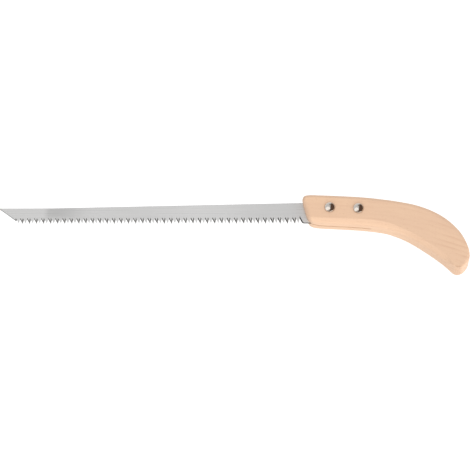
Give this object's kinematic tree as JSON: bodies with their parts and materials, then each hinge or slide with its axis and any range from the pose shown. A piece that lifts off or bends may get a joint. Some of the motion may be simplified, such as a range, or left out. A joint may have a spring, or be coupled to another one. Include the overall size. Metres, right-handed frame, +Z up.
{
  "type": "bonsai saw",
  "caption": "Fixed-blade bonsai saw: a thin tapered pull-saw blade riveted into the slotted front of a curved solid wooden handle.",
  "frame": {"origin": "centre of the saw's box, on the surface that it lies on when on its side", "axes": "+X along the blade from the tip to the handle, +Y in the blade's plane from the teeth to the spine, +Z up through the blade's thickness"},
  "size_m": [0.3244, 0.0518, 0.022],
  "materials": {
    "blade_steel": "satin steel, ground lengthwise",
    "handle_wood": "sanded pale beech, clear matt oil",
    "rivet_metal": "polished nickel plate"
  },
  "bodies": {
    "root": {"blade": "blade_steel", "handle": "handle_wood", "front_rivet_sleeve": "rivet_metal", "front_rivet_post": "rivet_metal", "rear_rivet_sleeve": "rivet_metal", "rear_rivet_post": "rivet_metal"}
  },
  "joints": []
}
